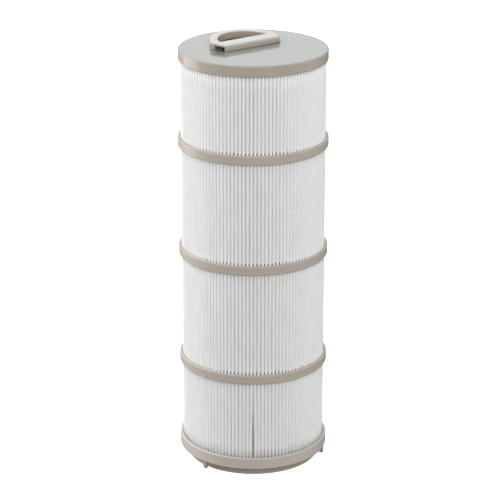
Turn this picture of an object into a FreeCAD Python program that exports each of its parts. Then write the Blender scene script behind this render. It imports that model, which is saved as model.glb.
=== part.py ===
"""Twist-lock filter cartridge for a pool or spa, in millimetres.

The frame: +Z runs up the cartridge's axis, z = 0 is the underside of the base collar, and the hinge
of the fold-down handle lies along X. With the handle folded, its loop reaches towards +Y.
Every size is a cell of the sheet "Sizes", and every solid is built from those cells.
"""

import FreeCAD, Part
import math
import os

import Sketcher

DRIVING = [
    # heights, from the ground up
    ("collar_height", 9.3, "base collar below the flange"),
    ("flange_height", 12.1, "base flange that holds the lower end of the pleats"),
    ("first_section", 83.3, "bare pleats between the flange and the lower band"),
    ("second_section", 109.1, "bare pleats between the lower and the middle band"),
    ("third_section", 106.6, "bare pleats between the middle and the upper band"),
    ("fourth_section", 80.9, "bare pleats between the upper band and the top cap"),
    ("band_height", 9.4, "each of the three outer bands"),
    ("rim_height", 10.5, "skirt of the top cap"),
    # pleat pack
    ("pleat_tip_diameter", 148.0, "over the outer folds"),
    ("tip_clearance", 0.2, "gap from the outer folds to what surrounds them"),
    ("seam_slot_width", 2.2, "gap between the first and the last pleat"),
    ("seam_slot_depth", 13.0, "how far the seam lies inside the folds"),
    ("seam_strip_width", 1.6, "adhesive strip that joins the pack's two ends"),
    ("seam_strip_depth", 7.0, "adhesive strip, measured along the radius"),
    ("seam_angle", -126.0, "place of the seam around the axis, in degrees"),
    # bands, cap and base walls
    ("band_wall", 2.8, "radial thickness of a band"),
    ("band_round", 0.9, "rounding of a band's outer edges"),
    ("rim_wall", 1.8, "radial thickness of the cap's skirt"),
    ("cap_plate", 3.0, "thickness of the cap's top"),
    ("cap_round", 1.5, "rounding of the cap's upper edge"),
    ("flange_wall", 3.0, "radial thickness of the base flange"),
    ("flange_round", 1.0, "rounding of the flange's edges"),
    ("base_plate", 3.0, "floor of the base"),
    ("lower_potting", 5.2, "resin in the base, under the pleats"),
    ("potting_under_well", 1.0, "resin left under the handle well"),
    # core
    ("core_diameter", 71.0, "outside of the perforated core"),
    ("core_wall", 2.5, "wall of the core"),
    ("core_gap", 0.3, "gap from the core to the inner folds"),
    ("window_width", 12.0, "opening in the core, across"),
    ("window_height", 14.0, "opening in the core, along the axis"),
    ("window_margin", 14.0, "solid core left at each end of a half"),
    ("coupling_web", 1.5, "shoulder between the two core halves"),
    ("coupling_wall", 1.6, "sleeve of the coupling"),
    ("coupling_reach", 9.0, "how far the sleeve enters each half"),
    # base
    ("collar_step", 8.8, "collar set in from the flange"),
    ("collar_wall", 3.0, "wall of the collar"),
    ("outlet_diameter", 50.0, "bore of the outlet seal"),
    ("seal_wall", 4.0, "radial thickness of the outlet seal"),
    ("seal_shoulder", 2.5, "ledge that the seal stops against"),
    ("hub_wall", 4.0, "wall of the hub around the seal"),
    ("hub_lift", 1.5, "hub kept above the ground"),
    ("seal_inset", 0.8, "seal set back from the hub's face"),
    ("seal_chamfer", 1.2, "lead-in of the seal"),
    ("rib_thickness", 2.0, "radial ribs under the base floor"),
    ("rib_lift", 4.0, "ribs kept above the ground"),
    ("lug_width", 5.2, "twist-lock lug, around the rim"),
    ("lug_depth", 4.2, "twist-lock lug, along the radius"),
    ("lug_height", 8.4, "twist-lock lug, down from the flange"),
    ("lug_inset", 0.6, "lug set in from the flange's outside"),
    ("lug_taper", 1.3, "how far each side of the lug closes in at its tip"),
    ("lug_angle", 72.0, "place of the first lug around the axis, in degrees"),
    # handle
    ("grip_radius", 36.0, "outside of the handle's curved grip"),
    ("grip_centre", 14.4, "centre of the grip's outer curve, behind the bar's front"),
    ("opening_radius", 29.2, "finger opening's curve"),
    ("opening_centre", 11.4, "centre of the opening's curve, behind the bar's front"),
    ("bar_half_length", 33.4, "half the bar's front edge"),
    ("bar_width", 16.8, "bar, front to back"),
    ("end_half_length", 39.8, "half the handle's width at its flared ends"),
    ("end_depth", 18.0, "corner of a flared end, behind the bar's front"),
    ("shoulder_depth", 33.0, "where the straight shoulders meet the curved grip"),
    ("bar_thickness", 6.2, "top of the handle above the cap at the bar's front"),
    ("grip_thickness", 7.6, "top of the handle above the cap at the back of the grip"),
    ("handle_wall", 1.7, "walls of the hollow handle"),
    ("handle_lift", 0.3, "gap under the folded handle"),
    ("handle_round", 1.2, "rounding of the handle's upper edges"),
    ("bar_front_round", 3.2, "rounding of the bar's upper front edge"),
    ("end_opening", 14.0, "open part of the bar's ends, front to back"),
    # hinge
    ("hinge_setback", 8.0, "hinge axis behind the bar's front"),
    ("hinge_rise", 1.6, "hinge axis above the cap"),
    ("hinge_gap", 0.45, "side gap between ear and handle knuckle"),
    ("ear_thickness", 2.6, "hinge ear on the cap"),
    ("ear_inset", 1.0, "ear set in from the bar's end"),
    ("ear_radius", 2.4, "rounded head of an ear"),
    ("ear_foot", 4.4, "foot of an ear, front to back"),
    ("knuckle_thickness", 3.0, "knuckle in the handle that turns on the pin"),
    ("knuckle_radius", 2.9, "rounded end of a knuckle"),
    ("pin_diameter", 2.5, "hinge pin"),
    ("pin_running_clearance", 0.08, "radial gap between pin and knuckle"),
    ("pin_head_height", 0.6, "head of a hinge pin"),
    ("pin_head_overhang", 0.6, "how far the head stands over the shank"),
    # well under the handle
    ("well_depth", 7.1, "floor of the well below the cap's top"),
    ("well_floor", 1.8, "wall under the well"),
    ("well_wall", 1.8, "walls around the well"),
    ("well_front_gap", 1.4, "well ahead of the bar's front"),
    ("well_side_gap", 0.7, "well past the bar's ends"),
    ("finger_hook", 4.0, "how far the well reaches under the grip"),
]

CORE_WINDOW_COLUMNS = 10
BASE_RIBS = 8
LUGS = 3

doc = FreeCAD.newDocument("filter_cartridge")
sheet = doc.addObject("Spreadsheet::Sheet", "Sizes")
VALUES = {}
for row, (alias, value, meaning) in enumerate(DRIVING, start=1):
    sheet.set(f"A{row}", str(value))
    sheet.setAlias(f"A{row}", alias)
    sheet.set(f"B{row}", meaning)
    VALUES[alias] = value
doc.recompute()


class Size:
    """A length that knows both its expression over the sheet's cells and its present value."""

    def __init__(self, text, value):
        self.text = text
        self.value = value

    def _join(self, other, sign, result):
        return Size(f"({self.text} {sign} {as_size(other).text})", result)

    def __add__(self, other):
        return self._join(other, "+", self.value + as_size(other).value)

    def __sub__(self, other):
        return self._join(other, "-", self.value - as_size(other).value)

    def __mul__(self, other):
        return self._join(other, "*", self.value * as_size(other).value)

    def __truediv__(self, other):
        return self._join(other, "/", self.value / as_size(other).value)

    def __neg__(self):
        return Size(f"(0 - {self.text})", -self.value)

    def root(self):
        return Size(f"sqrt({self.text})", math.sqrt(self.value))


def as_size(number):
    return number if isinstance(number, Size) else Size(repr(float(number)), float(number))


def cell(alias):
    return Size(f"Sizes.{alias}", VALUES[alias])


ZERO = as_size(0)


# ---------------------------------------------------------------- derived places, all from the cells

tip_radius = cell("pleat_tip_diameter") / 2
pocket_radius = tip_radius + cell("tip_clearance")
band_radius = pocket_radius + cell("band_wall")
cap_radius = pocket_radius + cell("rim_wall")
flange_radius = pocket_radius + cell("flange_wall")
core_radius = cell("core_diameter") / 2
core_bore = core_radius - cell("core_wall")
fold_radius = core_radius + cell("core_gap")
collar_radius = flange_radius - cell("collar_step")
collar_bore = collar_radius - cell("collar_wall")
outlet_radius = cell("outlet_diameter") / 2
seal_radius = outlet_radius + cell("seal_wall")
hub_radius = seal_radius + cell("hub_wall")

flange_bottom = cell("collar_height")
floor_top = flange_bottom + cell("base_plate")
media_bottom = floor_top + cell("lower_potting")
flange_top = flange_bottom + cell("flange_height")
lower_band_z = flange_top + cell("first_section")
middle_band_z = lower_band_z + cell("band_height") + cell("second_section")
upper_band_z = middle_band_z + cell("band_height") + cell("third_section")
rim_bottom = upper_band_z + cell("band_height") + cell("fourth_section")
cap_top = rim_bottom + cell("rim_height")
plate_bottom = cap_top - cell("cap_plate")
well_top = cap_top - cell("well_depth")
well_bottom = well_top - cell("well_floor")
media_top = well_bottom - cell("potting_under_well")
core_middle = (media_bottom + media_top) / 2

hinge_y = cell("hinge_setback")
hinge_z = cap_top + cell("hinge_rise")
handle_bottom = cap_top + cell("handle_lift")
hollow_top = cap_top + cell("bar_thickness") - cell("handle_wall")
grip_back = cell("grip_centre") + cell("grip_radius")
handle_span = cell("end_half_length") * 2 + 4
ear_outside = cell("bar_half_length") - cell("ear_inset")
ear_inside = ear_outside - cell("ear_thickness")
knuckle_outside = ear_inside - cell("hinge_gap")
knuckle_inside = knuckle_outside - cell("knuckle_thickness")


def half_chord(radius, centre, y):
    """Half the width, at y, of a circle centred at that height on the Y axis."""
    rise = y - centre
    return (radius * radius - rise * rise).root()


# ---------------------------------------------------------------- how features are made

ROLES = {"XY": "XY_Plane", "XZ": "XZ_Plane", "YZ": "YZ_Plane", "Z": "Z_Axis"}


def origin_feature(body, which):
    return next(f for f in body.Origin.OriginFeatures if f.Role == ROLES[which])


def new_body(label):
    body = doc.addObject("PartDesign::Body", label)
    body.Label = label
    return body


def turn_body(body, alias):
    """Turns a finished body about the cartridge's axis by an angle of the sheet."""
    turn = FreeCAD.Rotation(FreeCAD.Vector(0, 0, 1), VALUES[alias])
    body.Placement = FreeCAD.Placement(FreeCAD.Vector(0, 0, 0), turn)
    body.setExpression("Placement.Rotation.Angle", f"Sizes.{alias}")


def new_sketch(body, plane, offset=ZERO):
    """A sketch on one of the body's origin planes, moved along that plane's normal."""
    sketch = body.newObject("Sketcher::SketchObject", body.Name + "_sketch")
    sketch.AttachmentSupport = [(origin_feature(body, plane), "")]
    sketch.MapMode = "FlatFace"
    move = FreeCAD.Vector(0, 0, offset.value)
    sketch.AttachmentOffset = FreeCAD.Placement(move, FreeCAD.Rotation())
    sketch.setExpression("AttachmentOffset.Base.z", offset.text)
    return sketch


def tie(sketch, kind, geometry, point, size):
    """Binds a distance from the sketch's origin to one point of an edge."""
    number = sketch.addConstraint(Sketcher.Constraint(kind, -1, 1, geometry, point, size.value))
    if size.text != ZERO.text:
        sketch.setExpression(f"Constraints[{number}]", size.text)


def draw_outline(sketch, corners, arc_height=None):
    """A closed outline through corners, each a pair of sizes.

    The last corner joins the first by a straight edge, or by an arc that runs counterclockwise
    about a centre midway between them at arc_height."""
    corners = [(as_size(x), as_size(y)) for x, y in corners]
    points = [FreeCAD.Vector(x.value, y.value, 0) for x, y in corners]
    first = sketch.GeometryCount
    count = len(points)
    for i in range(count - 1):
        sketch.addGeometry(Part.LineSegment(points[i], points[i + 1]), False)
    if arc_height is None:
        sketch.addGeometry(Part.LineSegment(points[-1], points[0]), False)
    else:
        middle = (points[0].x + points[-1].x) / 2
        centre = FreeCAD.Vector(middle, arc_height.value, 0)
        start = math.atan2(points[-1].y - centre.y, points[-1].x - centre.x)
        end = math.atan2(points[0].y - centre.y, points[0].x - centre.x)
        if end <= start:
            end += 2 * math.pi
        radius = centre.distanceToPoint(points[0])
        circle = Part.Circle(centre, FreeCAD.Vector(0, 0, 1), radius)
        sketch.addGeometry(Part.ArcOfCircle(circle, start, end), False)
    for i in range(count):
        following = first + (i + 1) % count
        sketch.addConstraint(Sketcher.Constraint("Coincident", first + i, 2, following, 1))
    for i, (x, y) in enumerate(corners):
        tie(sketch, "DistanceX", first + i, 1, x)
        tie(sketch, "DistanceY", first + i, 1, y)
    if arc_height is not None:
        tie(sketch, "DistanceY", first + count - 1, 3, arc_height)


def draw_box(sketch, x_low, y_low, x_high, y_high):
    draw_outline(sketch, [(x_low, y_low), (x_high, y_low), (x_high, y_high), (x_low, y_high)])


def draw_circle(sketch, radius, x=ZERO, y=ZERO):
    centre = FreeCAD.Vector(x.value, y.value, 0)
    circle = Part.Circle(centre, FreeCAD.Vector(0, 0, 1), radius.value)
    number = sketch.addGeometry(circle, False)
    size = sketch.addConstraint(Sketcher.Constraint("Radius", number, radius.value))
    sketch.setExpression(f"Constraints[{size}]", radius.text)
    tie(sketch, "DistanceX", number, 3, x)
    tie(sketch, "DistanceY", number, 3, y)


def extrude(body, kind, sketch, length, symmetric, reverse):
    feature = body.newObject(f"PartDesign::{kind}", f"{body.Name}_{kind.lower()}")
    feature.Profile = sketch
    feature.Length = length.value
    feature.setExpression("Length", length.text)
    feature.SideType = "Symmetric" if symmetric else "One side"
    feature.Reversed = reverse
    return feature


def pad(body, sketch, length, symmetric=False):
    """Adds material along the sketch's normal."""
    return extrude(body, "Pad", sketch, length, symmetric, False)


def cut(body, sketch, length, symmetric=False):
    """Removes material along the sketch's normal, and checks that some was there."""
    doc.recompute()
    before = body.Shape.Volume
    feature = extrude(body, "Pocket", sketch, length, symmetric, not symmetric)
    doc.recompute()
    if body.Shape.Volume >= before - 0.01:
        raise RuntimeError(f"{body.Label}: a cut removed nothing")
    return feature


def revolve(body, sketch):
    feature = body.newObject("PartDesign::Revolution", f"{body.Name}_revolution")
    feature.Profile = sketch
    feature.ReferenceAxis = (sketch, ["V_Axis"])
    feature.Angle = 360
    return feature


def repeat_around(body, feature, count, sweep=360):
    """Repeats a feature evenly about the axis, over a full turn or a part of one."""
    pattern = body.newObject("PartDesign::PolarPattern", f"{body.Name}_pattern")
    pattern.Originals = [feature]
    pattern.Axis = (origin_feature(body, "Z"), [""])
    pattern.Angle = sweep
    pattern.Occurrences = count
    body.Tip = pattern


def mirror_across(body, feature):
    """Repeats a feature on the other side of the body's YZ plane."""
    mirror = body.newObject("PartDesign::Mirrored", f"{body.Name}_mirror")
    mirror.Originals = [feature]
    mirror.MirrorPlane = (origin_feature(body, "YZ"), [""])
    body.Tip = mirror


def round_edges(body, alias, chosen):
    """Rounds the body's edges for which chosen(edge) holds, by a radius of the sheet."""
    doc.recompute()
    base = body.Tip
    names = [f"Edge{i}" for i, edge in enumerate(base.Shape.Edges, start=1) if chosen(edge)]
    if not names:
        raise RuntimeError(f"{body.Label}: no edge to round")
    fillet = body.newObject("PartDesign::Fillet", f"{body.Name}_fillet")
    fillet.Base = (base, names)
    fillet.Radius = VALUES[alias]
    fillet.setExpression("Radius", f"Sizes.{alias}")


def is_ring(edge, radius, height):
    """Whether an edge is a full circle of that radius at that height."""
    box = edge.BoundBox
    round_and_sized = isinstance(edge.Curve, Part.Circle) and abs(edge.Curve.Radius - radius.value) < 0.01
    return round_and_sized and max(abs(box.ZMax - height.value), abs(box.ZMin - height.value)) < 0.01


# ---------------------------------------------------------------- pleat pack and its seam

def build_media():
    """The folded filter fabric, as the ring that its pleats fill, slotted along the seam."""
    body = new_body("pleated_media")
    ring = new_sketch(body, "XY", media_bottom)
    draw_circle(ring, tip_radius)
    draw_circle(ring, fold_radius)
    pad(body, ring, media_top - media_bottom)
    slot = new_sketch(body, "XY", media_bottom)
    half = cell("seam_slot_width") / 2
    draw_box(slot, tip_radius - cell("seam_slot_depth"), -half, tip_radius + 1, half)
    cut(body, slot, media_top - media_bottom)
    turn_body(body, "seam_angle")
    return body


def build_seam_strip():
    """Hot-melt strip at the bottom of the seam's slot."""
    body = new_body("seam_strip")
    sketch = new_sketch(body, "XY", media_bottom)
    half = cell("seam_strip_width") / 2
    inner = tip_radius - cell("seam_slot_depth")
    draw_box(sketch, inner, -half, inner + cell("seam_strip_depth"), half)
    pad(body, sketch, media_top - media_bottom)
    turn_body(body, "seam_angle")
    return body


# ---------------------------------------------------------------- perforated core, in two halves

def build_core_half(label, bottom, top):
    """One moulded length of the core: a tube with rows of windows all round."""
    body = new_body(label)
    ring = new_sketch(body, "XY", bottom)
    draw_circle(ring, core_radius)
    draw_circle(ring, core_bore)
    pad(body, ring, top - bottom)
    room = top.value - bottom.value - 2 * VALUES["window_margin"]
    rows = max(2, int(room // (1.45 * VALUES["window_height"])))
    step = (top - bottom - cell("window_margin") * 2 - cell("window_height")) / (rows - 1)
    windows = new_sketch(body, "XZ")
    half = cell("window_width") / 2
    for i in range(rows):
        low = bottom + cell("window_margin") + step * i
        draw_box(windows, -half, low, half, low + cell("window_height"))
    through = cut(body, windows, core_radius * 2 + 2, symmetric=True)
    pitch = 360 / CORE_WINDOW_COLUMNS
    repeat_around(body, through, CORE_WINDOW_COLUMNS // 2, 180 - pitch)
    return body


def build_core_coupling():
    """Sleeve inside both halves, with a shoulder that the halves meet."""
    body = new_body("core_coupling")
    sketch = new_sketch(body, "XZ")
    inner = core_bore - cell("coupling_wall")
    half_web = cell("coupling_web") / 2
    low = core_middle - half_web - cell("coupling_reach")
    high = core_middle + half_web + cell("coupling_reach")
    sleeve = [(inner, low), (core_bore, low), (core_bore, core_middle - half_web)]
    shoulder = [(core_radius, core_middle - half_web), (core_radius, core_middle + half_web)]
    upper = [(core_bore, core_middle + half_web), (core_bore, high), (inner, high)]
    draw_outline(sketch, sleeve + shoulder + upper)
    revolve(body, sketch)
    return body


# ---------------------------------------------------------------- bands

def build_band(label, bottom):
    """Moulded ring bonded over the fold tips."""
    body = new_body(label)
    sketch = new_sketch(body, "XZ")
    top = bottom + cell("band_height")
    draw_box(sketch, pocket_radius, bottom, band_radius, top)
    revolve(body, sketch)
    round_edges(
        body,
        "band_round",
        lambda edge: is_ring(edge, band_radius, bottom) or is_ring(edge, band_radius, top),
    )
    return body


# ---------------------------------------------------------------- resin that holds the pleats' ends

def build_bottom_potting():
    body = new_body("bottom_potting")
    sketch = new_sketch(body, "XY", floor_top)
    draw_circle(sketch, pocket_radius)
    draw_circle(sketch, core_bore)
    pad(body, sketch, cell("lower_potting"))
    return body


def draw_well(sketch, grow):
    """Outline of the well under the handle, grown by grow: a trough that follows the bar's flared
    ends, and a round pocket for the fingers behind it."""
    flare = (cell("end_half_length") - cell("bar_half_length")) / cell("end_depth")
    front = -(cell("well_front_gap") + grow)
    back = cell("bar_width") + grow
    front_half = cell("bar_half_length") + cell("well_side_gap") + grow
    back_half = front_half + flare * (back - front)
    centre = cell("opening_centre")
    shoulder = half_chord(cell("opening_radius") + cell("finger_hook") + grow, centre, back)
    trough = [(-back_half, back), (-front_half, front), (front_half, front), (back_half, back)]
    draw_outline(sketch, [(-shoulder, back)] + trough + [(shoulder, back)], centre)


def build_top_potting():
    """Resin between the cap and the pleats; it set around the underside of the handle well."""
    body = new_body("top_potting")
    sketch = new_sketch(body, "XY", media_top)
    draw_circle(sketch, pocket_radius)
    draw_circle(sketch, core_bore)
    pad(body, sketch, plate_bottom - media_top)
    well = new_sketch(body, "XY", well_bottom)
    draw_well(well, cell("well_wall"))
    cut(body, well, plate_bottom - well_bottom)
    return body


# ---------------------------------------------------------------- top cap with well and hinge ears

def draw_ear(sketch):
    """Side view of a hinge ear: a round head on a leg that leans back, clear of the bar's sweep."""
    head = cell("ear_radius")
    floor = well_top - cell("well_floor") / 2
    foot_front = hinge_y + head + cell("handle_lift")
    foot_back = foot_front + cell("ear_foot")
    front = [(hinge_y - head, hinge_z), (hinge_y - head, hinge_z - head * 0.4)]
    leg = [(foot_front, hinge_z - head * 2), (foot_front, floor), (foot_back, floor)]
    back = [(foot_back, hinge_z - head), (hinge_y + head, hinge_z)]
    draw_outline(sketch, front + leg + back, hinge_z)


def build_top_cap():
    body = new_body("top_cap")
    shell = new_sketch(body, "XZ")
    plate = [(ZERO, plate_bottom), (pocket_radius, plate_bottom), (pocket_radius, rim_bottom)]
    outside = [(cap_radius, rim_bottom), (cap_radius, cap_top), (ZERO, cap_top)]
    draw_outline(shell, plate + outside)
    revolve(body, shell)
    round_edges(body, "cap_round", lambda edge: is_ring(edge, cap_radius, cap_top))
    tub = new_sketch(body, "XY", well_bottom)
    draw_well(tub, cell("well_wall"))
    pad(body, tub, plate_bottom - well_bottom + cell("cap_plate") / 2)
    well = new_sketch(body, "XY", well_top)
    draw_well(well, ZERO)
    cut(body, well, cell("well_depth") + 1)
    ear = new_sketch(body, "YZ", ear_inside)
    draw_ear(ear)
    mirror_across(body, pad(body, ear, cell("ear_thickness")))
    bores = new_sketch(body, "YZ")
    draw_circle(bores, cell("pin_diameter") / 2, hinge_y, hinge_z)
    cut(body, bores, ear_outside * 2 + 2, symmetric=True)
    return body


# ---------------------------------------------------------------- handle and its pins

def draw_loop(sketch, inset):
    """Outside of the handle drawn in by inset: a straight bar, flared ends, shoulders and a round grip."""
    front = cell("bar_half_length") - inset
    end = cell("end_half_length") - inset
    back = cell("shoulder_depth")
    shoulder = half_chord(cell("grip_radius") - inset, cell("grip_centre"), back)
    left = [(-shoulder, back), (-end, cell("end_depth")), (-front, inset)]
    right = [(front, inset), (end, cell("end_depth")), (shoulder, back)]
    draw_outline(sketch, left + right, cell("grip_centre"))


def draw_opening(sketch, grow):
    """The handle's finger opening, grown by grow: a round segment behind the straight bar."""
    front = cell("bar_width") - grow
    half = half_chord(cell("opening_radius") + grow, cell("opening_centre"), front)
    draw_outline(sketch, [(-half, front), (half, front)], cell("opening_centre"))


def build_handle():
    body = new_body("handle")
    loop = new_sketch(body, "XY", handle_bottom)
    draw_loop(loop, ZERO)
    draw_opening(loop, ZERO)
    pad(body, loop, cell("grip_thickness") - cell("handle_lift") + 1)

    front_top = cap_top + cell("bar_thickness")
    back_top = cap_top + cell("grip_thickness")
    slope = new_sketch(body, "YZ")
    surface = [(as_size(-1), front_top), (ZERO, front_top), (grip_back, back_top)]
    beyond = [(grip_back + 1, back_top), (grip_back + 1, back_top + 2), (as_size(-1), back_top + 2)]
    draw_outline(slope, surface + beyond)
    cut(body, slope, handle_span, symmetric=True)

    def on_top(edge):
        rise = (back_top.value - front_top.value) / grip_back.value
        return all(abs(v.Z - front_top.value - rise * v.Y) < 0.05 for v in edge.Vertexes)

    def along_front(edge):
        return on_top(edge) and all(abs(v.Y) < 0.01 for v in edge.Vertexes)

    round_edges(body, "bar_front_round", along_front)
    round_edges(body, "handle_round", lambda edge: on_top(edge) and not along_front(edge))

    hollow = new_sketch(body, "XY", handle_bottom)
    draw_loop(hollow, cell("handle_wall"))
    draw_opening(hollow, cell("handle_wall"))
    cut(body, hollow, hollow_top - handle_bottom)
    ends = new_sketch(body, "YZ")
    draw_box(ends, cell("handle_wall"), handle_bottom - 1, cell("end_opening"), hollow_top)
    cut(body, ends, handle_span, symmetric=True)

    knuckle = new_sketch(body, "YZ", knuckle_inside)
    front = hinge_y - cell("knuckle_radius")
    back = hinge_y + cell("knuckle_radius")
    top = hollow_top + cell("handle_wall") / 2
    draw_outline(knuckle, [(back, hinge_z), (back, top), (front, top), (front, hinge_z)], hinge_z)
    mirror_across(body, pad(body, knuckle, cell("knuckle_thickness")))
    bores = new_sketch(body, "YZ")
    bore = cell("pin_diameter") / 2 + cell("pin_running_clearance")
    draw_circle(bores, bore, hinge_y, hinge_z)
    cut(body, bores, knuckle_outside * 2 + 0.2, symmetric=True)
    return body


def build_hinge_pins():
    """Two like pins, each pressed into an ear from outside, with its end inside a knuckle."""
    body = new_body("hinge_pin")
    shank = new_sketch(body, "YZ", knuckle_inside)
    draw_circle(shank, cell("pin_diameter") / 2, hinge_y, hinge_z)
    pad(body, shank, ear_outside - knuckle_inside)
    head = new_sketch(body, "YZ", ear_outside)
    draw_circle(head, cell("pin_diameter") / 2 + cell("pin_head_overhang"), hinge_y, hinge_z)
    pad(body, head, cell("pin_head_height"))
    other = doc.addObject("Part::Mirroring", "other_pin")
    other.Source = body
    other.Normal = FreeCAD.Vector(1, 0, 0)
    pair = doc.addObject("Part::Compound", "hinge_pins")
    pair.Links = [body, other]
    pair.Label = "hinge_pins"
    return pair


# ---------------------------------------------------------------- base with collar, hub and lugs

def build_base():
    body = new_body("bottom_cap")
    shell = new_sketch(body, "XZ")
    ledge = seal_radius - cell("seal_shoulder")
    cup = [(ledge, floor_top), (pocket_radius, floor_top), (pocket_radius, flange_top)]
    flange = [(flange_radius, flange_top), (flange_radius, flange_bottom)]
    collar_outside = [(collar_radius, flange_bottom), (collar_radius, ZERO)]
    collar_inside = [(collar_bore, ZERO), (collar_bore, flange_bottom)]
    hub_outside = [(hub_radius, flange_bottom), (hub_radius, cell("hub_lift"))]
    hub_inside = [(seal_radius, cell("hub_lift")), (seal_radius, flange_bottom)]
    seat = [(ledge, flange_bottom)]
    draw_outline(shell, cup + flange + collar_outside + collar_inside + hub_outside + hub_inside + seat)
    revolve(body, shell)
    round_edges(
        body,
        "flange_round",
        lambda edge: is_ring(edge, flange_radius, flange_top) or is_ring(edge, flange_radius, flange_bottom),
    )
    rib = new_sketch(body, "XY", cell("rib_lift"))
    half = cell("rib_thickness") / 2
    draw_box(rib, hub_radius - cell("hub_wall") / 2, -half, collar_bore + cell("collar_wall") / 2, half)
    rib_height = flange_bottom - cell("rib_lift") + cell("base_plate") / 2
    repeat_around(body, pad(body, rib, rib_height), BASE_RIBS)

    outside = flange_radius - cell("lug_inset")
    lug = new_sketch(body, "YZ", outside - cell("lug_depth"))
    half = cell("lug_width") / 2
    tip = half - cell("lug_taper")
    tip_z = flange_bottom - cell("lug_height")
    root_z = flange_bottom + cell("base_plate") / 2
    shape = [(-half, root_z), (-half, flange_bottom - 1), (-tip, tip_z), (tip, tip_z)]
    draw_outline(lug, shape + [(half, flange_bottom - 1), (half, root_z)])
    repeat_around(body, pad(body, lug, cell("lug_depth") - cell("lug_inset")), LUGS)
    turn_body(body, "lug_angle")
    return body


def build_outlet_seal():
    """Rubber ring in the hub that closes on the housing's standpipe."""
    body = new_body("outlet_seal")
    sketch = new_sketch(body, "XZ")
    low = cell("hub_lift") + cell("seal_inset")
    lead = cell("seal_chamfer")
    inner = [(outlet_radius, flange_bottom), (outlet_radius, low + lead), (outlet_radius + lead, low)]
    draw_outline(sketch, inner + [(seal_radius, low), (seal_radius, flange_bottom)])
    revolve(body, sketch)
    return body


# ---------------------------------------------------------------- build, check and write

half_web = cell("coupling_web") / 2
pieces = [
    build_base(),
    build_outlet_seal(),
    build_bottom_potting(),
    build_core_half("core_lower_half", media_bottom, core_middle - half_web),
    build_core_coupling(),
    build_core_half("core_upper_half", core_middle + half_web, media_top),
    build_media(),
    build_seam_strip(),
    build_band("lower_band", lower_band_z),
    build_band("middle_band", middle_band_z),
    build_band("upper_band", upper_band_z),
    build_top_potting(),
    build_top_cap(),
    build_hinge_pins(),
    build_handle(),
]
doc.recompute()

for item in doc.Objects:
    if "Invalid" in item.State or "Error" in item.State:
        raise RuntimeError(f"{item.Label}: {item.State}")

os.makedirs("parts", exist_ok=True)
for piece in pieces:
    shape = piece.Shape
    if shape.isNull() or not shape.isValid():
        raise RuntimeError(f"{piece.Label}: no valid solid")
    shape.exportStep(f"parts/{piece.Label}.step")
    box = shape.BoundBox
    print(f"{piece.Label}: {shape.Volume / 1000:.2f} cm3, {len(shape.Solids)} solid(s), "
          f"x {box.XMin:.2f}..{box.XMax:.2f}, y {box.YMin:.2f}..{box.YMax:.2f}, z {box.ZMin:.2f}..{box.ZMax:.2f}")
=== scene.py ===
"""Looks of a tall pleated filter cartridge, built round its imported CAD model."""

import bmesh
import bpy
import math
from mathutils import Matrix, Vector


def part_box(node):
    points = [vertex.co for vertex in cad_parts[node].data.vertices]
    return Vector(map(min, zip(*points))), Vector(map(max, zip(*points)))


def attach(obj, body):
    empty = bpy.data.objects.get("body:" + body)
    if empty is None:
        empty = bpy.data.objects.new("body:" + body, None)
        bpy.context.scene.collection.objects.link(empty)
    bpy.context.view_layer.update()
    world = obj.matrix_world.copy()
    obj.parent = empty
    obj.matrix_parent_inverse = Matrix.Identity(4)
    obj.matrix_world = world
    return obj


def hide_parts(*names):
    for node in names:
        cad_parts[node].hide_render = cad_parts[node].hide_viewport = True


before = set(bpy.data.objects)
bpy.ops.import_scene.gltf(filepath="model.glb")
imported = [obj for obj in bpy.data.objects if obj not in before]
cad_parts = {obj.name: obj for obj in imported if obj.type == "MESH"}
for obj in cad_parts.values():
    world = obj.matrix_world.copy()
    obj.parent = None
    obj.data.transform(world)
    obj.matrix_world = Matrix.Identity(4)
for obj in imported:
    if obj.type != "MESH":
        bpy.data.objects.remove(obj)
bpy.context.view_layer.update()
scene = bpy.context.scene


# ------------------------------------------------------------------ bottom cap
# The cup that the pleats' lower ends are cast into, with its set-in collar, hub and three twist-lock
# lugs. One moulding in warm grey plastic, with a satin skin and faint flow marks; below the flange it
# is coloured darker, painted shade for the flange's overhang.

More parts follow.
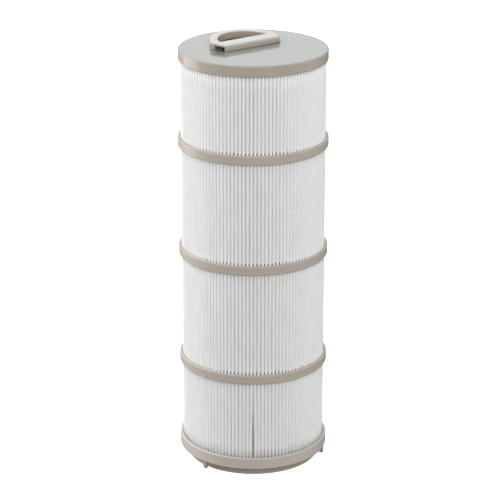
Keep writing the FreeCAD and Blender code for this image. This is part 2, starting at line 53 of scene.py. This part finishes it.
class Field:
    """A value inside one node tree; sums and products of fields add the maths nodes for them."""

    def __init__(self, tree, socket):
        self.tree = tree
        self.socket = socket

    def node(self, kind, inputs, output=0, **settings):
        """Adds a node of that kind with its inputs set or linked, and gives one of its outputs."""
        made = self.tree.nodes.new(kind)
        for name, value in settings.items():
            setattr(made, name, value)
        for key, value in inputs.items():
            if isinstance(value, Field):
                self.tree.links.new(value.socket, made.inputs[key])
            else:
                made.inputs[key].default_value = value
        return Field(self.tree, made.outputs[output])

    def maths(self, operation, *values):
        return self.node("ShaderNodeMath", dict(enumerate(values)), operation=operation)

    def __add__(self, other):
        return self.maths("ADD", self, other)

    def __sub__(self, other):
        return self.maths("SUBTRACT", self, other)

    def __mul__(self, other):
        return self.maths("MULTIPLY", self, other)

    def __truediv__(self, other):
        return self.maths("DIVIDE", self, other)

    def __radd__(self, other):
        return self.maths("ADD", other, self)

    def __rsub__(self, other):
        return self.maths("SUBTRACT", other, self)

    def __rmul__(self, other):
        return self.maths("MULTIPLY", other, self)

    def __rtruediv__(self, other):
        return self.maths("DIVIDE", other, self)

    def between(self, low, high, new_low=0.0, new_high=1.0):
        """Maps low..high onto new_low..new_high, held at both ends."""
        values = {0: self, 1: low, 2: high, 3: new_low, 4: new_high}
        return self.node("ShaderNodeMapRange", values, clamp=True)

    def noise(self, painted_hollow_shade, detail, roughness=0.5):
        """Cloudy pattern over this vector, scale in cells per metre."""
        values = {"Vector": self, "Scale": painted_hollow_shade, "Detail": detail, "Roughness": roughness}
        return self.node("ShaderNodeTexNoise", values)

    def stretched(self, x, y, z):
        return self.node("ShaderNodeMapping", {"Vector": self, "Scale": (x, y, z)})

    def reach(self):
        """Distance of this place from the cartridge's axis."""
        flat = self.stretched(1.0, 1.0, 0.0)
        return flat.node("ShaderNodeVectorMath", {0: flat}, 1, operation="LENGTH")

    def part(self, index):
        """One coordinate of this place: 0, 1 or 2."""
        return self.node("ShaderNodeSeparateXYZ", {0: self}, index)

    def mixed(self, colour, factor):
        """This colour turning into a plain one as the factor goes from 0 to 1."""
        values = {0: factor, 6: self, 7: (*colour, 1)}
        return self.node("ShaderNodeMix", values, 2, data_type="RGBA")

    def tinted(self, low_colour, high_colour):
        """Colour that runs from one to the other as this field goes from 0 to 1."""
        values = {0: self, 6: (*low_colour, 1), 7: (*high_colour, 1)}
        return self.node("ShaderNodeMix", values, 2, data_type="RGBA")


def new_finish(name, uniform):
    """A material with its shader's uniform values set, and the place field to draw patterns on."""
    finish = bpy.data.materials.new(name)
    finish.use_nodes = True
    tree = finish.node_tree
    shader = find_shader(tree)
    for key, value in uniform.items():
        shader.inputs[key].default_value = value
    return finish, shader, find_place(tree)


def find_shader(tree):
    return next(n for n in tree.nodes if n.type == "BSDF_PRINCIPLED")


def find_place(tree):
    return Field(tree, tree.nodes.new("ShaderNodeTexCoord").outputs["Object"])


def connect(shader, field, name):
    field.tree.links.new(field.socket, shader.inputs[name])


def add_bump(shader, height, distance, strength):
    """Raises the surface by a height field, distance in metres."""
    values = {"Height": height, "Distance": distance, "Strength": strength}
    connect(shader, height.node("ShaderNodeBump", values), "Normal")


def moulded_plastic(name, colour, roughness, coat, coat_roughness=0.12):
    """Satin moulded plastic: faint clouding in colour, flow marks, and a fine spark-eroded texture."""
    uniform = {"Coat Weight": coat, "Coat Roughness": coat_roughness, "Specular IOR Level": 0.16}
    finish, shader, place = new_finish(name, uniform)
    cloud = place.noise(38.0, 4.0)
    grain = place.noise(1500.0, 2.0)
    flow = place.stretched(1.0, 1.0, 6.0).noise(26.0, 3.0)
    darker = tuple(0.93 * c for c in colour)
    clouded = (0.65 * cloud + 0.35 * grain).between(0.3, 0.7)
    connect(shader, clouded.tinted(darker, colour), "Base Color")
    worn = (0.6 * flow + 0.4 * grain).between(0.3, 0.7, roughness - 0.05, roughness + 0.07)
    connect(shader, worn, "Roughness")
    add_bump(shader, 0.7 * grain + 0.3 * flow, 0.00003, 0.4)
    return finish


def reopened(finish):
    """A finish's shader, the colour that reaches it and a place field, to lay a stain over it."""
    tree = finish.node_tree
    shader = find_shader(tree)
    colour = Field(tree, shader.inputs["Base Color"].links[0].from_socket)
    return shader, colour, find_place(tree)


def dress(node, finish):
    """Gives a CAD node its finish."""
    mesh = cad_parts[node].data
    mesh.materials.clear()
    mesh.materials.append(finish)


COLLAR_HEIGHT = 0.0093


def base_with_painted_collar_shade():
    finish = moulded_plastic("warm_grey_plastic", (0.61, 0.55, 0.49), 0.38, 0.08)
    shader, unshaded_colour, place = reopened(finish)
    # painted shade: below the flange the collar is coloured darker, for the shadow under the overhang
    below = place.part(2).between(COLLAR_HEIGHT + 0.0001, COLLAR_HEIGHT - 0.0005)
    connect(shader, unshaded_colour.mixed((0.46, 0.385, 0.315), below), "Base Color")
    return finish


dress("bottom_cap", base_with_painted_collar_shade())


# ------------------------------------------------------------------ outlet seal
# Ring in the hub that closes on the housing's standpipe. Black nitrile rubber, moulded with a lead-in
# and pushed in from below; it has a dull bloom and dust in its pores.

def seal_rubber():
    finish, shader, place = new_finish("black_rubber", {"Specular IOR Level": 0.35})
    bloom = place.noise(140.0, 5.0, 0.6)
    pores = place.noise(2600.0, 2.0)
    dust = bloom.between(0.35, 0.75)
    connect(shader, dust.tinted((0.012, 0.012, 0.013), (0.05, 0.048, 0.046)), "Base Color")
    connect(shader, (0.5 * bloom + 0.5 * pores).between(0.3, 0.7, 0.55, 0.8), "Roughness")
    add_bump(shader, pores, 0.00005, 0.6)
    return finish


dress("outlet_seal", seal_rubber())


# ------------------------------------------------------------------ pottings
# Two-part resin poured in each cap and left to set round the pleats' ends. Tan polyurethane, slightly
# glossy, with small bubbles and swirls from mixing.

def cast_resin(name, colour):
    finish, shader, place = new_finish(name, {"Coat Weight": 0.3, "Coat Roughness": 0.15})
    swirl = place.noise(55.0, 5.0, 0.6)
    bubbles = place.node("ShaderNodeTexVoronoi", {"Vector": place, "Scale": 420.0})
    pits = bubbles.between(0.06, 0.3)
    darker = tuple(0.7 * c for c in colour)
    mixed_in = (0.8 * swirl + 0.2 * pits).between(0.3, 0.8)
    connect(shader, mixed_in.tinted(darker, colour), "Base Color")
    connect(shader, swirl.between(0.3, 0.7, 0.38, 0.6), "Roughness")
    add_bump(shader, 0.6 * pits + 0.4 * swirl, 0.0002, 0.5)
    return finish


potting_resin = cast_resin("tan_potting", (0.27, 0.2, 0.14))
dress("bottom_potting", potting_resin)
dress("top_potting", potting_resin)


# ------------------------------------------------------------------ core
# Perforated tube that keeps the folds from collapsing inwards: two moulded lengths on a short sleeve.
# White polypropylene, a little waxy, with a finer skin than the caps.

core_plastic = moulded_plastic("white_polypropylene", (0.72, 0.72, 0.7), 0.42, 0.1)
for piece in ("core_lower_half", "core_coupling", "core_upper_half"):
    dress(piece, core_plastic)


# ------------------------------------------------------------------ pleated media
# One long sheet of white polyester felt, folded into even pleats and bent into a ring round the core.
# Its folds are held at both ends by resin and along the way by the bands, and wander a little between.

PLEATS = 118
STEPS_PER_PLEAT = 12
FELT = 0.00055
pack_low, pack_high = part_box("pleated_media")
core_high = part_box("core_lower_half")[1]
bands = {name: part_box(name) for name in ("lower_band", "middle_band", "upper_band")}
band_middles = [(low.z + high.z) / 2 for low, high in bands.values()]
HOLDS = [pack_low.z + 0.003, *band_middles, pack_high.z - 0.001]
SEAM_ANGLE = math.radians(-126.0)
SEAM_OPENING_SPREAD = 0.028


def felt_finish():
    """Spun-bonded polyester: matt white, short fibres pressed flat, painted shade darker and warmer in
    the valleys.
    """
    uniform = {"Sheen Weight": 0.25, "Sheen Roughness": 0.5, "Specular IOR Level": 0.2}
    finish, shader, place = new_finish("white_felt", uniform)
    fibres = place.stretched(1.0, 1.0, 0.3).noise(2400.0, 3.0, 0.65)
    patches = place.noise(60.0, 4.0)
    shade = (0.45 * fibres + 0.55 * patches).between(0.3, 0.7)
    unshaded_colour = shade.tinted((0.91, 0.915, 0.91), (0.965, 0.967, 0.962))
    # painted shade: deeper into a fold the felt is coloured darker and warmer
    painted_valley_shade = place.reach().between(pack_high.x - 0.0008, pack_high.x - 0.0032)
    connect(shader, unshaded_colour.mixed((0.82, 0.795, 0.76), painted_valley_shade), "Base Color")
    connect(shader, fibres.between(0.3, 0.7, 0.82, 0.98), "Roughness")
    add_bump(shader, fibres, 0.00012, 0.5)
    return finish


def float_curve(field, heights):
    """Curve of straight stretches through heights that are evenly spaced over 0..1."""
    shaped = field.node("ShaderNodeFloatCurve", {1: field})
    curve = shaped.socket.node.mapping.curves[0]
    last = len(heights) - 1
    curve.points[0].location = (0, heights[0])
    curve.points[-1].location = (1, heights[-1])
    for k in range(1, last):
        curve.points.new(k / last, heights[k])
    for point in curve.points:
        point.handle_type = "VECTOR"
    shaped.socket.node.mapping.update()
    return shaped


def pleating_tree():
    """A flat grid laid into pleats: a column finds its place across a fold, a row its height."""
    tree = bpy.data.node_groups.new("pleating", "GeometryNodeTree")
    kinds = {"Pleats": "Int", "Rows": "Int", "Felt": "Material"}
    for name in (
        "Pleats", "Tip Radius", "Fold Radius", "Bottom", "Top", "Rows",
        "Wander", "Seam Opening", "Opening Height", "Felt",
    ):
        kind = "NodeSocket" + kinds.get(name, "Float")
        tree.interface.new_socket(name, in_out="INPUT", socket_type=kind)
    tree.interface.new_socket("Geometry", in_out="OUTPUT", socket_type="NodeSocketGeometry")
    given = tree.nodes.new("NodeGroupInput")
    size = {s.name: Field(tree, s) for s in given.outputs if s.name}

    columns = size["Pleats"] * STEPS_PER_PLEAT + 1
    grid = columns.node("GeometryNodeMeshGrid", {0: 1.0, 1: 1.0, 2: columns, 3: size["Rows"]})
    here = grid.node("GeometryNodeInputPosition", {})
    turns = (here.part(0) + 0.5) * size["Pleats"]
    pleat = (turns - 0.5).maths("ROUND", turns - 0.5)
    inside = turns - 0.5 - pleat

    # From a fold's tip to its root: how far its wall stands to the side, in pitches, and how far out.
    share = 2.0 * inside.maths("ABSOLUTE", inside)
    sideways = float_curve(share, (0, 0.15, 0.29, 0.418, 0.4, 0.31, 0.5))
    offset = sideways * inside.maths("SIGN", inside)
    depth = float_curve(share, (1, 0.995, 0.975, 0.938, 0.5, 0.04, 0))

    # The folds wander most midway between the places that hold them.
    height = size["Bottom"] + (here.part(1) + 0.5) * (size["Top"] - size["Bottom"])
    distances = [height.maths("ABSOLUTE", height - hold) for hold in HOLDS]
    nearest = distances[0]
    for distance in distances[1:]:
        nearest = nearest.maths("MINIMUM", nearest, distance)
    free = nearest.between(0.004, 0.04)
    shared = height.node("ShaderNodeCombineXYZ", {0: pleat * 0.37, 1: height * 9.0, 2: 4.0})
    lone = height.node("ShaderNodeCombineXYZ", {0: pleat * 3.1, 1: height * 14.0, 2: 9.0})
    drift = (shared.noise(1.0, 2.0) - 0.5) + 0.8 * (lone.noise(1.0, 1.0) - 0.5)
    drift = drift * free * size["Wander"] * 4.0

    # The sheet's two ends stand a little apart at one height, less so at each fold away from them.
    from_seam = pleat.maths("MINIMUM", pleat + 1.0, size["Pleats"] - pleat)
    side = pleat.maths("SIGN", size["Pleats"] * 0.5 - pleat)
    near = from_seam.maths("POWER", 0.55, from_seam) / 0.55
    rise = (height - size["Opening Height"]) / SEAM_OPENING_SPREAD
    swell = rise.maths("EXPONENT", 0.0 - rise * rise)
    drift = drift + side * near * size["Seam Opening"] * swell

    radius = size["Fold Radius"] + (size["Tip Radius"] - size["Fold Radius"]) * depth
    pitch = 2 * math.pi / size["Pleats"]
    angle = SEAM_ANGLE + (pleat + 0.5 + offset) * pitch + drift * depth / size["Tip Radius"]
    cosine = angle.maths("COSINE", angle)
    sine = angle.maths("SINE", angle)
    bent = angle.node("ShaderNodeCombineXYZ", {0: radius * cosine, 1: radius * sine, 2: height})
    laid = grid.node("GeometryNodeSetPosition", {"Geometry": grid, "Position": bent})
    smooth = laid.node("GeometryNodeSetShadeSmooth", {0: laid})
    real = smooth.node("GeometryNodeRealizeInstances", {0: smooth})
    dressed = real.node("GeometryNodeSetMaterial", {"Geometry": real, "Material": size["Felt"]})
    tree.links.new(dressed.socket, tree.nodes.new("NodeGroupOutput").inputs[0])
    return tree


def grow_sheet(name, tree, settings, thickness):
    """Runs a geometry tree with its named inputs set, thickens its sheet, and keeps a plain mesh."""
    seed = bpy.data.objects.new(name, bpy.data.meshes.new(name + "_seed"))
    scene.collection.objects.link(seed)
    nodes = seed.modifiers.new("nodes", "NODES")
    nodes.node_group = tree
    identifiers = {s.name: s.identifier for s in tree.interface.items_tree if s.in_out == "INPUT"}
    for key, value in settings.items():
        nodes[identifiers[key]] = value
    wall = seed.modifiers.new("wall", "SOLIDIFY")
    wall.thickness = thickness
    wall.offset = 0.0
    graph = bpy.context.evaluated_depsgraph_get()
    mesh = bpy.data.meshes.new_from_object(seed.evaluated_get(graph))
    seed.modifiers.clear()
    seed.data = mesh
    return face_outwards(seed)


def face_outwards(piece):
    """Turns a closed shell's faces round if it came out inside out."""
    shell = bmesh.new()
    shell.from_mesh(piece.data)
    if shell.calc_volume(signed=True) < 0:
        bmesh.ops.reverse_faces(shell, faces=shell.faces)
        shell.to_mesh(piece.data)
    shell.free()
    return piece


folds = grow_sheet(
    "pleated_felt",
    pleating_tree(),
    {
        "Pleats": PLEATS,
        "Tip Radius": pack_high.x - FELT / 2 - 0.0001,
        "Fold Radius": core_high.x + 0.0007,
        "Bottom": pack_low.z,
        "Top": pack_high.z,
        "Rows": 30,
        "Wander": 0.00016,
        "Seam Opening": 0.0007,
        "Opening Height": 0.036,
        "Felt": felt_finish(),
    },
    FELT,
)
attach(folds, "cartridge")
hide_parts("pleated_media")


# ------------------------------------------------------------------ seam strip
# Bead of hot-melt that joins the sheet's two ends into a ring. Amber when it cools, dull and stringy.

dress("seam_strip", cast_resin("amber_hot_melt", (0.4, 0.33, 0.25)))


# ------------------------------------------------------------------ bands
# Rings that hold the folds at even spacing. The same warm grey plastic as the caps, slipped over the
# tips and bonded with a bead that fills the mouths of the folds and shows just above each ring; the
# bead's dark brown is partly the adhesive and partly painted shade in the fold mouths.

band_plastic = moulded_plastic("band_plastic", (0.54, 0.475, 0.41), 0.42, 0.1)
for name in bands:
    dress(name, band_plastic)


def bead_ring(name, bottom, top, inside, finish):
    """Bead of set adhesive round the folds, its upper edge creeping up unevenly between them."""
    shell = bmesh.new()
    outside = pack_high.x - 0.0012
    around = PLEATS * 4
    loops = []
    for k in range(around):
        angle = SEAM_ANGLE + 2 * math.pi * k / around
        creep = 0.0006 * math.sin(5.3 * angle)
        creep += 0.0005 * math.sin(17.0 * angle + 1.0)
        creep += 0.0004 * math.sin(43.0 * angle)
        edge = top + creep
        profile = ((outside, bottom), (outside, edge), (inside, edge + 0.001), (inside, bottom))
        ring = [(r * math.cos(angle), r * math.sin(angle), z) for r, z in profile]
        loops.append([shell.verts.new(place) for place in ring])
    for k in range(around):
        here, there = loops[k], loops[(k + 1) % around]
        for j in range(4):
            corner = (j + 1) % 4
            shell.faces.new((here[j], there[j], there[corner], here[corner]))
    mesh = bpy.data.meshes.new(name)
    shell.to_mesh(mesh)
    shell.free()
    mesh.materials.append(finish)
    piece = bpy.data.objects.new(name, mesh)
    scene.collection.objects.link(piece)
    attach(face_outwards(piece), "cartridge")


# dark brown adhesive, coloured dark enough to be painted shade in the fold mouths as well
bond_with_painted_shade = cast_resin("bond_with_painted_shade", (0.19, 0.135, 0.1))
for name, (low, high) in bands.items():
    bead_ring(name + "_bond", low.z - 0.0005, high.z + 0.001, pack_high.x - 0.005, bond_with_painted_shade)

# The cast resin in the base shows as a grey line just above the flange.
grey_resin = cast_resin("grey_edge_resin", (0.42, 0.35, 0.29))
edge_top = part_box("bottom_cap")[1].z + 0.0005
bead_ring("bottom_resin_edge", pack_low.z + 0.0005, edge_top, pack_high.x - 0.006, grey_resin)


# ------------------------------------------------------------------ top cap and hinge ears
# Shallow lid with a skirt, a well under the handle and two hinge ears. The base's plastic, glossier
# and painted paler on its upper face as painted reflection, with painted shade, brown in the well and
# black on the ears.

LID_TOP = 0.44
WELL_REACH = 0.058


def painted_top_light(finish, painted_top_colour, side_coat, top_coat):
    """Plastic made glossier, and painted paler as painted reflection, where it faces upwards."""
    shader, warm, place = reopened(finish)
    tree = finish.node_tree
    facing = Field(tree, tree.nodes.new("ShaderNodeTexCoord").outputs["Normal"])
    upwards = facing.part(2).between(0.5, 0.95)
    connect(shader, upwards.between(0.0, 1.0, side_coat, top_coat), "Coat Weight")
    # painted reflection: faces that look upwards take the paler colour
    return shader, warm.mixed(painted_top_colour, upwards), place


def lid_with_painted_shade():
    """Painted shade: brown below the lid's face within the well's reach of the axis, clear of the
    skirt; near black on the ears.
    """
    finish = moulded_plastic("lid_plastic", (0.5, 0.435, 0.37), 0.3, 0.9, 0.05)
    shader, colour, place = painted_top_light(finish, (0.305, 0.32, 0.295), 0.04, 0.95)
    # painted shade: the well is coloured dark brown and the ears above the lid's face near black
    height = place.part(2)
    well = height.between(LID_TOP - 0.0002, LID_TOP - 0.0015)
    well = well * place.reach().between(WELL_REACH, WELL_REACH - 0.002)
    ears = height.between(LID_TOP + 0.0002, LID_TOP + 0.0006)
    colour = colour.mixed((0.25, 0.205, 0.155), well)
    connect(shader, colour.mixed((0.03, 0.025, 0.02), ears), "Base Color")
    return finish


dress("top_cap", lid_with_painted_shade())


# ------------------------------------------------------------------ hinge pins
# Two short moulded pins with flat heads, pressed into the ears from outside. Acetal, which doesn't
# rust in treated water: waxy, with a faint grey bloom, and coloured near black as painted shade for
# the dark hollow at the bar's ends.

def pins_in_painted_shade():
    finish, shader, place = new_finish("pins_in_painted_shade", {"Coat Weight": 0.15, "Coat Roughness": 0.3})
    swirl = place.noise(700.0, 3.0)
    bloom = swirl.between(0.3, 0.7)
    # painted shade: the pins are coloured near black, for the shadowed hollow at the bar's ends
    connect(shader, bloom.tinted((0.012, 0.012, 0.012), (0.03, 0.029, 0.027)), "Base Color")
    connect(shader, swirl.between(0.3, 0.7, 0.38, 0.5), "Roughness")
    add_bump(shader, swirl, 0.00002, 0.4)
    return finish


dress("hinge_pins", pins_in_painted_shade())


# ------------------------------------------------------------------ handle
# Hollow D-shaped bail that folds flat over the well and lifts upright to pull the cartridge out.
# Moulded in the caps' plastic, painted paler on its upper faces as painted reflection, and near
# black as painted shade inside the bar's hollow.

BAR_WALL = 0.0017
BAR_END = 0.0334
END_OPENING = 0.014


def handle_with_painted_light():
    """Painted reflection on upper faces; painted black shade in the bar's hollow by the hinge."""
    finish = moulded_plastic("handle_plastic", (0.45, 0.385, 0.32), 0.3, 0.6)
    shader, colour, place = painted_top_light(finish, (0.64, 0.65, 0.61), 0.2, 0.7)
    along, back, height = (place.part(k) for k in range(3))
    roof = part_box("handle")[1].z - BAR_WALL
    # painted shade: inside the bar's hollow the plastic is coloured near black
    painted_hollow_shade = along.maths("ABSOLUTE", along).between(BAR_END - 0.0001, BAR_END - 0.0003)
    painted_hollow_shade = painted_hollow_shade * height.between(roof + 0.0001, roof + 0.00002)
    painted_hollow_shade = painted_hollow_shade * back.between(BAR_WALL - 0.0001, BAR_WALL - 0.00002)
    painted_hollow_shade = painted_hollow_shade * back.between(END_OPENING - 0.0018, END_OPENING - 0.0038)
    connect(shader, colour.mixed((0.02, 0.017, 0.014), painted_hollow_shade), "Base Color")
    return finish


dress("handle", handle_with_painted_light())


# ------------------------------------------------------------------ floor, lights and camera
# A white sweep, two tall softboxes at the sides, one in front, one behind, and the viewing angle.

def floor_finish():
    uniform = {
        "Roughness": 0.7,
        "Specular IOR Level": 0.15,
        "Emission Strength": 0.8,
        "Emission Color": (1, 1, 1, 1),
    }
    finish, shader, place = new_finish("white_sweep", uniform)
    patches = place.noise(4.0, 2.0).between(0.3, 0.7)
    connect(shader, patches.tinted((0.95, 0.95, 0.95), (0.97, 0.97, 0.97)), "Base Color")
    return finish


half_floor = 9.0
floor_height = -0.0002
signs = ((-1, -1), (1, -1), (1, 1), (-1, 1))
floor_corners = [(half_floor * x, half_floor * y, floor_height) for x, y in signs]
floor_mesh = bpy.data.meshes.new("floor")
floor_mesh.from_pydata(floor_corners, [], [(0, 1, 2, 3)])
floor_mesh.materials.append(floor_finish())
floor = bpy.data.objects.new("floor", floor_mesh)
floor.visible_diffuse = False
floor.visible_glossy = False
scene.collection.objects.link(floor)

world = bpy.data.worlds.new("white_room")
world.use_nodes = True
sky = Field(world.node_tree, world.node_tree.nodes.new("ShaderNodeTexCoord").outputs["Generated"])
backdrop = world.node_tree.nodes["Background"]
backdrop.inputs["Color"].default_value = (0.97, 0.99, 0.995, 1)
connect(backdrop, sky.part(2).between(-0.25, 0.2, 0.18, 0.63), "Strength")
scene.world = world

VIEW_TURN = math.radians(54.0)


def pointed(thing, place, direction):
    """Stands a lamp or camera at a place, facing along a direction with its top up."""
    turn = direction.to_track_quat("-Z", "Y").to_matrix().to_4x4()
    thing.matrix_world = Matrix.Translation(place) @ turn
    scene.collection.objects.link(thing)


def softbox(name, turn, height, distance, width, tall, power):
    """Soft light that faces the cartridge's middle; turn is measured to the left of the view."""
    bearing = VIEW_TURN + math.pi - turn
    place = Vector((distance * math.cos(bearing), distance * math.sin(bearing), height))
    lamp = bpy.data.lights.new(name, "AREA")
    lamp.shape = "RECTANGLE"
    lamp.size = width
    lamp.size_y = tall
    lamp.energy = power
    pointed(bpy.data.objects.new(name, lamp), place, Vector((0, 0, 0.24)) - place)


softbox("left_softbox", math.radians(110), 0.5, 1.5, 1.0, 1.5, 27.0)
softbox("right_softbox", math.radians(-100), 0.5, 1.6, 0.8, 1.5, 4.5)
softbox("front_softbox", math.radians(-12), 1.15, 1.9, 1.4, 1.2, 17.0)
softbox("back_softbox", math.radians(180), 1.2, 1.6, 2.0, 1.0, 3.4)

camera_data = bpy.data.cameras.new("view")
camera_data.sensor_width = 36.0
camera_data.lens = 160.67
camera = bpy.data.objects.new("view", camera_data)
stand_off = 2.17925
eye_height = 1.00478
pitch = 0.3442
aim_turn = VIEW_TURN + 0.0015
eye = Vector((-stand_off * math.cos(VIEW_TURN), -stand_off * math.sin(VIEW_TURN), eye_height))
level = Vector((math.cos(aim_turn), math.sin(aim_turn), 0))
pointed(camera, eye, level * math.cos(pitch) - Vector((0, 0, math.sin(pitch))))
scene.camera = camera
scene.view_settings.view_transform = "Standard"
